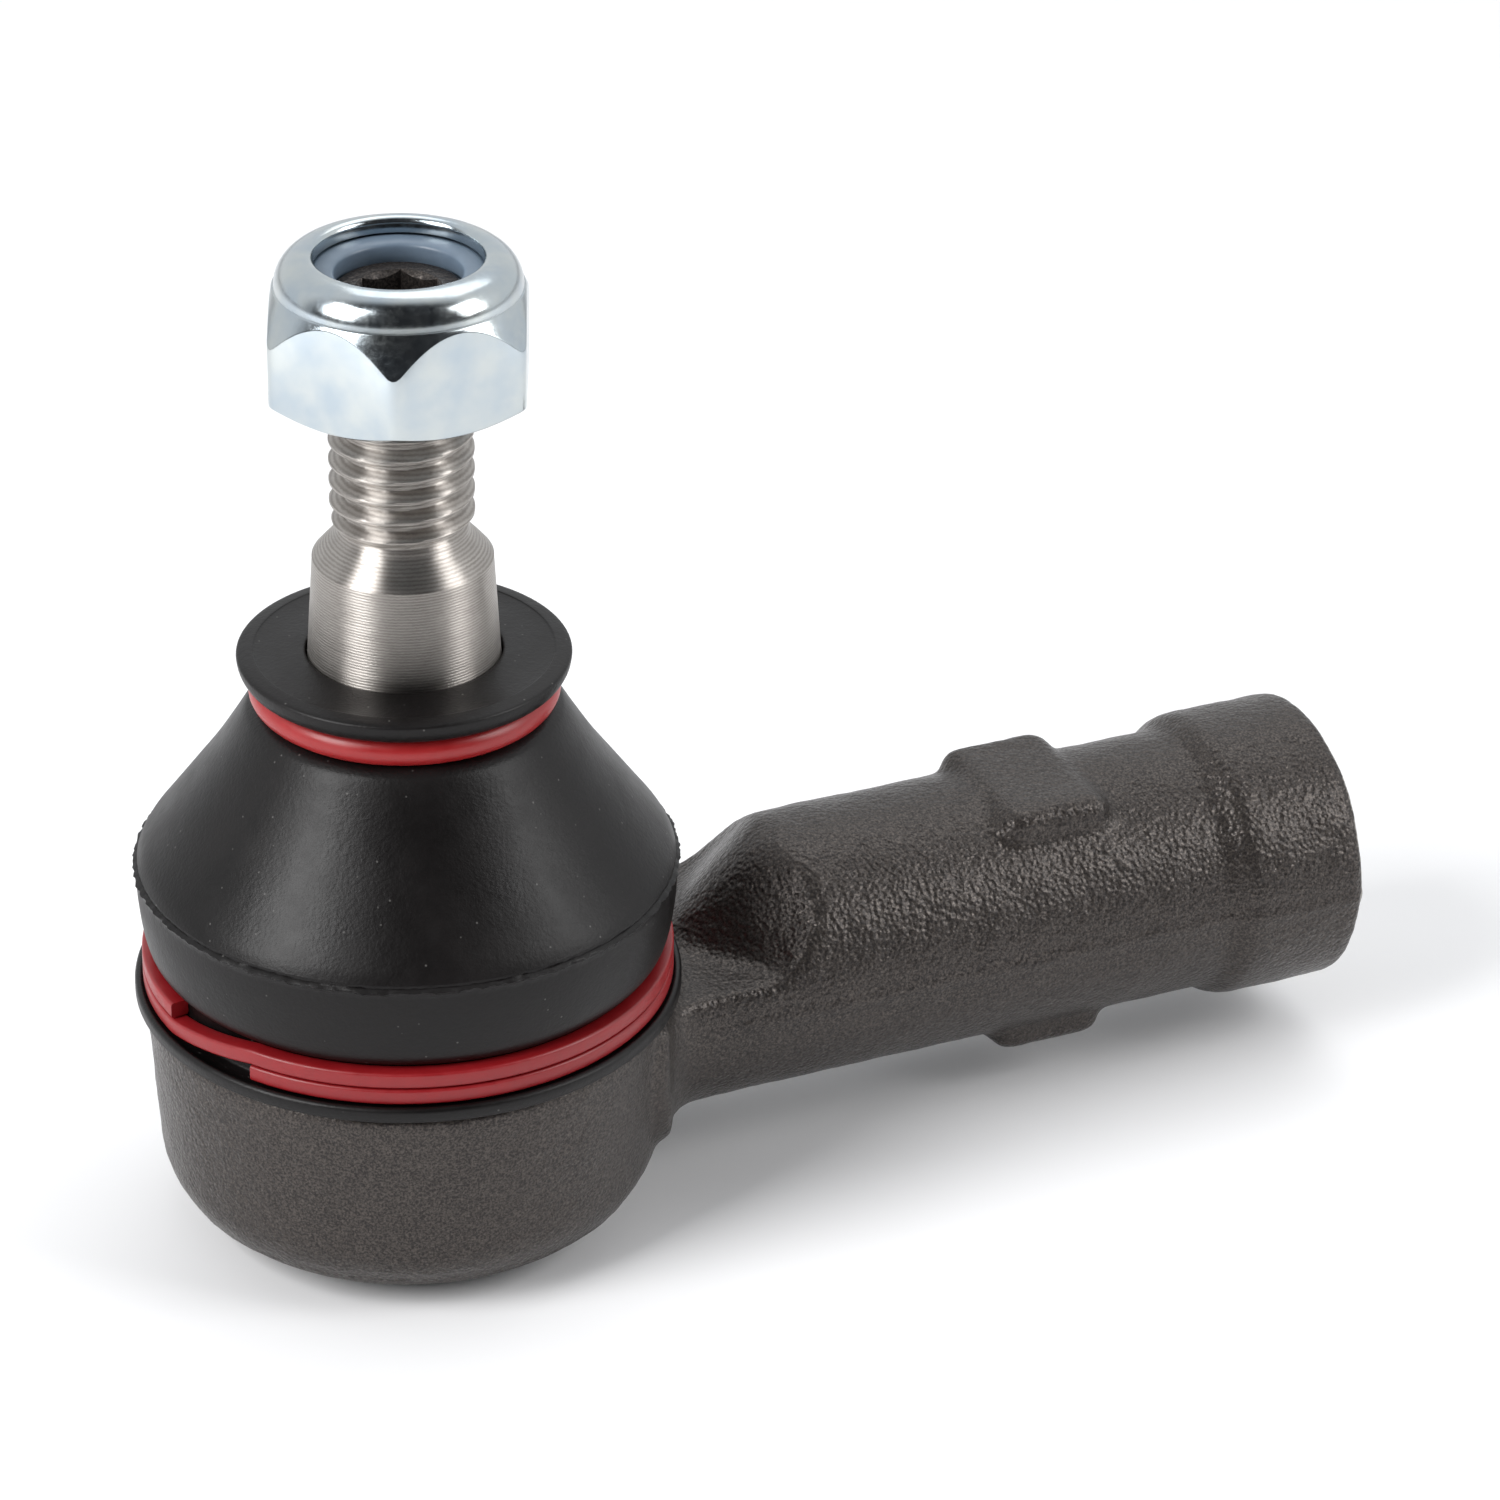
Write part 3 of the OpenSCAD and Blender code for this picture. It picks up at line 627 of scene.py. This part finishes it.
# ---- Dust boot -----------------------------------------------------------------------------
# Moulded in chloroprene rubber. Its foot is stretched over the housing's spigot, its lip runs on
# the stud's seat, and the dome, which folds as the stud leans, is built here at rest. Rough flash marks the
# parting.
flange_r, flange_z = 19.28, 17.56
ridge_r, ridge_z = 18.98, 27.8
lip_r, neck_ring_z = 7.0, 41.3
foot = [(spigot_r + 0.06, flange_z), (flange_r - 0.25, flange_z), (flange_r, flange_z + 0.25),
        (flange_r, 18.35)] + arc(18.95, 18.4, 0.33, 0, 120, 5)
foot += [(18.55, 18.5), (17.5, 18.45), (17.33, 18.6)]
band = [(17.33, 21.1)] + curve_through([(17.45, 21.25), (17.85, 21.5), (18.3, 22.2), (18.62, 23.6),
                                        (18.85, 25.6), (18.9, 27.2)], 5)
flash = [(18.9, 27.5), (ridge_r, 27.62), (ridge_r + 0.1, ridge_z), (ridge_r - 0.06, 27.93), (18.76, 28.0)]
dome = curve_through([(18.78, 28.2), (18.35, 29.0), (17.35, 30.35), (15.65, 32.65), (13.85, 35.1),
                      (12.3, 37.5), (11.2, 39.3), (10.7, 39.85), (10.1, 40.12), (9.3, 40.25)], 6)
throat = arc(9.65, neck_ring_z, 1.16, 235, 125, 8)
brim = curve_through([(9.3, 42.42), (10.5, 42.44), (11.05, 42.6), (11.38, 43.1), (11.5, 43.65),
                      (11.46, 43.88), (11.25, 44.0), (10.8, 44.08), (10.4, 44.12), (10.2, 44.06),
                      (9.0, 44.02), (7.3, 44.1), (6.87, 44.08), (lip_r - 0.24, 43.95)], 5)
inside = [(lip_r, 39.4), (lip_r, 38.7)] + curve_through([
    (7.3, 38.4), (8.6, 38.2), (9.4, 37.3), (12.6, 33.0), (15.9, 28.6), (16.6, 26.6), (16.2, 22.2),
    (15.75, 21.5)], 5) + [(spigot_r + 0.06, 21.3)]
boot_shape = turned(foot + band + flash + dome + throat + brim + inside, steps=420, closed=True)
for v in boot_shape.verts:
    out = math.hypot(v.co.x, v.co.y)
    near = 1 - abs(v.co.z - ridge_z) / 0.4
    if out > ridge_r - 0.3 and near > 0:
        torn = noise.noise(Vector((v.co.x, v.co.y, 0)) * 2.2) + 0.5 * noise.noise(v.co * 0.5)
        grown = out + 0.16 * torn * near
        v.co.x *= grown / out
        v.co.y *= grown / out
        v.co.z += 0.12 * near * noise.noise(Vector((v.co.x * 1.9, v.co.y * 1.9, 5)))

# Chloroprene: soot-black and matt, with a waxy bloom in patches and specks of dust on it.
rubber = bpy.data.materials.new("chloroprene rubber")
rubber.use_nodes = True
tree = rubber.node_tree
skin = tree.nodes["Principled BSDF"]
place = add_node(tree, "ShaderNodeTexCoord").outputs["Object"]
bloom = add_node(tree, "ShaderNodeTexNoise", {
    "Vector": place, "Scale": 1 / (7.0 * MM), "Detail": 6.0, "Roughness": 0.7})
cloud = add_node(tree, "ShaderNodeMapRange", {
    "Value": bloom.outputs["Fac"], "From Min": 0.35, "From Max": 0.75})
skin_tone = add_node(tree, "ShaderNodeMix", {
    "Factor": cloud.outputs[0], 6: linear("#090707"), 7: linear("#120f0f")}, data_type="RGBA")
dust = add_node(tree, "ShaderNodeTexVoronoi", {"Vector": place, "Scale": 1 / (1.2 * MM)}, feature="F1")
motes = add_node(tree, "ShaderNodeMapRange", {
    "Value": dust.outputs["Distance"], "From Min": 0.03, "From Max": 0.08, "To Min": 0.3, "To Max": 0.0})
dusty = add_node(tree, "ShaderNodeMix", {
    "Factor": motes.outputs[0], 6: skin_tone.outputs[2], 7: linear("#8d8b88")}, data_type="RGBA")
tree.links.new(dusty.outputs[2], skin.inputs["Base Color"])
haze = add_node(tree, "ShaderNodeMapRange", {
    "Value": bloom.outputs["Fac"], "From Min": 0.3, "From Max": 0.75, "To Min": 0.34, "To Max": 0.5})
tree.links.new(haze.outputs[0], skin.inputs["Roughness"])
skin.inputs["Specular IOR Level"].default_value = 0.26
pores = add_node(tree, "ShaderNodeTexNoise", {
    "Vector": place, "Scale": 1 / (0.28 * MM), "Detail": 2.0, "Roughness": 0.6})
creases = add_node(tree, "ShaderNodeTexNoise", {
    "Vector": place, "Scale": 1 / (1.4 * MM), "Detail": 4.0, "Roughness": 0.6, "Distortion": 0.6})
uneven = add_node(tree, "ShaderNodeBump", {
    "Height": creases.outputs["Fac"], "Strength": 0.4, "Distance": 0.06 * MM})
texture = add_node(tree, "ShaderNodeBump", {
    "Height": pores.outputs["Fac"], "Strength": 0.6, "Distance": 0.035 * MM, "Normal": uneven.outputs[0]})
tree.links.new(texture.outputs[0], skin.inputs["Normal"])

boot = to_piece("dust_boot_moulding", boot_shape, rubber, crease=60)
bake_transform(boot)
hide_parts("dust_boot")

# ---- Clamp ring ----------------------------------------------------------------------------
# Flat spring wire lacquered red, wound in just under two turns and snapped over the boot's foot.
# The wire steps up from the first turn to the second between its two square ends.
wire_in, wire_out, wire_h, wire_z = 17.4, 18.7, 1.15, 18.78
wire_step, wire_corner = 1.27, 0.2
wire_start, wire_gap = -146.5, 25.5
wire = bmesh.new()
corners = [(wire_in, wire_z), (wire_out, wire_z), (wire_out, wire_z + wire_h), (wire_in, wire_z + wire_h)]
wire.faces.new([wire.verts.new((r, 0, z)) for r, z in corners])
bmesh.ops.bevel(wire, geom=list(wire.verts), offset=wire_corner, affect="VERTICES", segments=3,
                profile=0.5, material=-1)
bmesh.ops.rotate(wire, cent=(0, 0, 0), matrix=Matrix.Rotation(math.radians(wire_start), 3, "Z"),
                 verts=wire.verts)
drawn = list(wire.verts) + list(wire.edges) + list(wire.faces)
single = 360 - wire_gap
rises = [(single, 0.0, 170)]
jog_steps = 14
rises += [(wire_gap / jog_steps, wire_step / jog_steps, 1)] * jog_steps
rises += [(single, 0.0, 170)]
for sweep, rise, steps in rises:
    drawn = bmesh.ops.spin(wire, geom=drawn, cent=(0, 0, 0), axis=(0, 0, 1), angle=math.radians(sweep),
                           steps=steps, dvec=(0, 0, rise), use_duplicate=False)["geom_last"]
bmesh.ops.remove_doubles(wire, verts=wire.verts, dist=1e-4)
bmesh.ops.recalc_face_normals(wire, faces=wire.faces)

# Red lacquer over wire: a deep cherry film with a soft gloss, its tone and roughness varying in small patches.
lacquer = bpy.data.materials.new("red lacquered wire")
lacquer.use_nodes = True
tree = lacquer.node_tree
skin = tree.nodes["Principled BSDF"]
place = add_node(tree, "ShaderNodeTexCoord").outputs["Object"]
film = add_node(tree, "ShaderNodeTexNoise", {
    "Vector": place, "Scale": 1 / (0.9 * MM), "Detail": 4.0, "Roughness": 0.7})
tone = add_node(tree, "ShaderNodeMix", {
    "Factor": film.outputs["Fac"], 6: linear("#7a0f14"), 7: linear("#93191f")}, data_type="RGBA")
tree.links.new(tone.outputs[2], skin.inputs["Base Color"])
dull = add_node(tree, "ShaderNodeMapRange", {
    "Value": film.outputs["Fac"], "From Min": 0.3, "From Max": 0.7, "To Min": 0.3, "To Max": 0.46})
tree.links.new(dull.outputs[0], skin.inputs["Roughness"])
orange_peel = add_node(tree, "ShaderNodeBump", {
    "Height": film.outputs["Fac"], "Strength": 0.35, "Distance": 0.04 * MM})
tree.links.new(orange_peel.outputs[0], skin.inputs["Normal"])
clamp = to_piece("boot_clamp_ring_wire", wire, lacquer, crease=50)
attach(clamp, "boot")
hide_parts("boot_clamp_ring")

# ---- Neck ring -----------------------------------------------------------------------------
# A smooth round ring of red polyurethane, stretched into the groove under the brim so that the
# boot's lip stays tight on the stud. It leans with the stud.
ring_section = 1.09
ring_r = 10.75 - ring_section
ring = turned(arc(ring_r, neck_ring_z, ring_section, 0, 345, 23), steps=160, closed=True)
urethane = bpy.data.materials.new("red polyurethane")
urethane.use_nodes = True
tree = urethane.node_tree
skin = tree.nodes["Principled BSDF"]
place = add_node(tree, "ShaderNodeTexCoord").outputs["Object"]
smear = add_node(tree, "ShaderNodeTexNoise", {
    "Vector": place, "Scale": 1 / (1.8 * MM), "Detail": 3.0, "Roughness": 0.6})
tone = add_node(tree, "ShaderNodeMix", {
    "Factor": smear.outputs["Fac"], 6: linear("#8a1517"), 7: linear("#9e2123")}, data_type="RGBA")
tree.links.new(tone.outputs[2], skin.inputs["Base Color"])
wipe = add_node(tree, "ShaderNodeMapRange", {
    "Value": smear.outputs["Fac"], "From Min": 0.3, "From Max": 0.7, "To Min": 0.28, "To Max": 0.42})
tree.links.new(wipe.outputs[0], skin.inputs["Roughness"])
skin.inputs["IOR"].default_value = 1.5
soft = add_node(tree, "ShaderNodeBump", {
    "Height": smear.outputs["Fac"], "Strength": 0.15, "Distance": 0.05 * MM})
tree.links.new(soft.outputs[0], skin.inputs["Normal"])
neck_ring = to_piece("boot_neck_ring_moulding", ring, urethane, crease=60)
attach(neck_ring, "boot_neck")
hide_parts("boot_neck_ring")

# ---- Nut insert ----------------------------------------------------------------------------
# A ring of blue-grey nylon held under the nut's rolled crown. The stud's thread presses its own
# way into it, and that grip stops the nut from working loose.
nut_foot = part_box("lock_nut")[0][2] / MM
insert_r, insert_bore, crown_r = 6.53, 4.275, 5.675
insert_low, insert_top = nut_foot + 6.61, nut_foot + 8.62
insert = turned(
    [(5.06, insert_low), (insert_r - 0.1, insert_low), (insert_r, insert_low + 0.1),
     (insert_r, insert_top - 0.2)]
    + curve_through([(insert_r - 0.08, insert_top - 0.08), (5.95, insert_top + 0.08),
                     (5.55, insert_top + 0.2), (5.0, insert_top + 0.2), (4.55, insert_top + 0.12),
                     (4.33, insert_top - 0.02), (insert_bore, insert_top - 0.2)], 4)
    + [(insert_bore, insert_low + 0.98), (5.06, insert_low + 0.17)], steps=128, closed=True)
nylon = bpy.data.materials.new("blue-grey nylon")
nylon.use_nodes = True
tree = nylon.node_tree
skin = tree.nodes["Principled BSDF"]
place = add_node(tree, "ShaderNodeTexCoord").outputs["Object"]
flow = add_node(tree, "ShaderNodeTexNoise", {
    "Vector": place, "Scale": 1 / (1.2 * MM), "Detail": 3.0, "Roughness": 0.6})
tone = add_node(tree, "ShaderNodeMix", {
    "Factor": flow.outputs["Fac"], 6: linear("#5b6a7a"), 7: linear("#6c7c8c")}, data_type="RGBA")
tree.links.new(tone.outputs[2], skin.inputs["Base Color"])
skin.inputs["Roughness"].default_value = 0.38
skin.inputs["IOR"].default_value = 1.53
skin.inputs["Subsurface Weight"].default_value = 0.15
skin.inputs["Subsurface Radius"].default_value = (0.4 * MM, 0.4 * MM, 0.5 * MM)
soft = add_node(tree, "ShaderNodeBump", {
    "Height": flow.outputs["Fac"], "Strength": 0.2, "Distance": 0.03 * MM})
tree.links.new(soft.outputs[0], skin.inputs["Normal"])
insert_piece = to_piece("nut_insert_moulding", insert, nylon, crease=45)
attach(insert_piece, "nut_carrier")
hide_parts("nut_insert")

# ---- Lock nut ------------------------------------------------------------------------------
# Cold-formed steel, 17 mm across flats, with its crown rolled in over the insert and its thread
# tapped to run on the stud. Plated with bright zinc and passivated blue-white.
nut_af, nut_h = 17.0, 10.0
nut_collar, nut_washer = 8.42, 8.25
brow_low, brow_rise = 4.8, 2.9
foot_rise = 0.6
corner_round = 0.9
flat_r = nut_af / 2
corner_r = flat_r / math.cos(math.pi / 6)
foot_mark, brow_mark = 0.4, 6.5        # heights the two rows are turned at before they are cut


def hexagon_reach(turn):
    """Distance from the nut's axis to its side at a turn, with the corners rounded."""
    off_corner = (turn - nut_clock + math.pi / 6) % (math.pi / 3) - math.pi / 6
    centre = corner_r - corner_round / math.cos(math.pi / 6)
    tangent = math.pi / 6 - math.atan2(centre / 2, flat_r)
    if abs(off_corner) < tangent:
        return centre * math.cos(off_corner) + math.sqrt(
            corner_round ** 2 - (centre * math.sin(off_corner)) ** 2)
    return flat_r / math.cos(math.pi / 6 - abs(off_corner))


nut_bore_rows = 52
nut_outline = [(5.55, 0.0), (nut_washer, 0.0), (9.2, foot_mark), (9.2, brow_mark),
               (nut_collar, brow_low + brow_rise), (nut_collar - 0.04, brow_low + brow_rise + 0.06),
               (nut_collar - 0.1, brow_low + brow_rise + 0.1)]
nut_outline += arc(6.05, nut_h - 2.25, 2.25, 4, 89, 16)
nut_outline += arc(6.1, nut_h - 0.44, 0.43, 95, 178, 8)
nut_outline += [(crown_r, nut_h - 0.9), (crown_r + 0.02, 8.95), (insert_r + 0.03, 8.55),
                (insert_r + 0.05, 6.6), (5.0, 6.58)]
nut_outline += [(4.98, 6.5 - 6.0 * i / nut_bore_rows) for i in range(nut_bore_rows + 1)]
nut = turned(nut_outline, steps=240, closed=True)
rows = {}
for v in nut.verts:
    turn = math.atan2(v.co.y, v.co.x)
    out = math.hypot(v.co.x, v.co.y)
    reach = hexagon_reach(turn)
    if abs(out - 9.2) < 0.01 and abs(v.co.z - foot_mark) < 0.01:
        new_r, new_z = reach, foot_rise * (reach - nut_washer)
        rows[v] = "foot"
    elif abs(out - 9.2) < 0.01 and abs(v.co.z - brow_mark) < 0.01:
        new_r = reach
        new_z = brow_low + brow_rise * (corner_r - reach) / (corner_r - nut_collar)
        rows[v] = "brow"
    elif out < 4.99:
        depth = thread_depth(turn, v.co.z + nut_foot, pitch)
        new_r = root_r + 0.12 + (4.98 - root_r - 0.12) * depth
        new_r = max(new_r, 5.5 - v.co.z)
        new_z = v.co.z
    else:
        continue
    v.co.x *= new_r / out
    v.co.y *= new_r / out
    v.co.z = new_z
arc_edges = [e for e in nut.edges if rows.get(e.verts[0]) and rows.get(e.verts[0]) == rows.get(e.verts[1])]
bmesh.ops.bevel(nut, geom=arc_edges, offset=0.07, affect="EDGES", segments=2, profile=0.5, material=-1)
bmesh.ops.translate(nut, vec=(0, 0, nut_foot), verts=nut.verts)
bmesh.ops.recalc_face_normals(nut, faces=nut.faces)

# Bright zinc: a cool silver film, glossy, with its roughness varying in small cloudy patches
# and faint blue patches from the passivation.
zinc = bpy.data.materials.new("zinc-plated steel")
zinc.use_nodes = True
tree = zinc.node_tree
skin = tree.nodes["Principled BSDF"]
place = add_node(tree, "ShaderNodeTexCoord").outputs["Object"]
passivation = add_node(tree, "ShaderNodeTexNoise", {
    "Vector": place, "Scale": 1 / (3.0 * MM), "Detail": 3.0, "Roughness": 0.55})
tint = add_node(tree, "ShaderNodeMapRange", {
    "Value": passivation.outputs["Fac"], "From Min": 0.35, "From Max": 0.7})
tone = add_node(tree, "ShaderNodeMix", {
    "Factor": tint.outputs[0], 6: linear("#c2c8c8"), 7: linear("#b0bbc3")}, data_type="RGBA")
tree.links.new(tone.outputs[2], skin.inputs["Base Color"])
skin.inputs["Metallic"].default_value = 1.0
cloudy = add_node(tree, "ShaderNodeTexNoise", {
    "Vector": place, "Scale": 1 / (0.5 * MM), "Detail": 4.0, "Roughness": 0.7})
dull = add_node(tree, "ShaderNodeMapRange", {
    "Value": cloudy.outputs["Fac"], "From Min": 0.3, "From Max": 0.7, "To Min": 0.13, "To Max": 0.24})
tree.links.new(dull.outputs[0], skin.inputs["Roughness"])
ripple = add_node(tree, "ShaderNodeBump", {
    "Height": cloudy.outputs["Fac"], "Strength": 0.16, "Distance": 0.03 * MM})
tree.links.new(ripple.outputs[0], skin.inputs["Normal"])
nut_piece = to_piece("lock_nut_plated", nut, zinc, crease=38)
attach(nut_piece, "nut")
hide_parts("lock_nut")
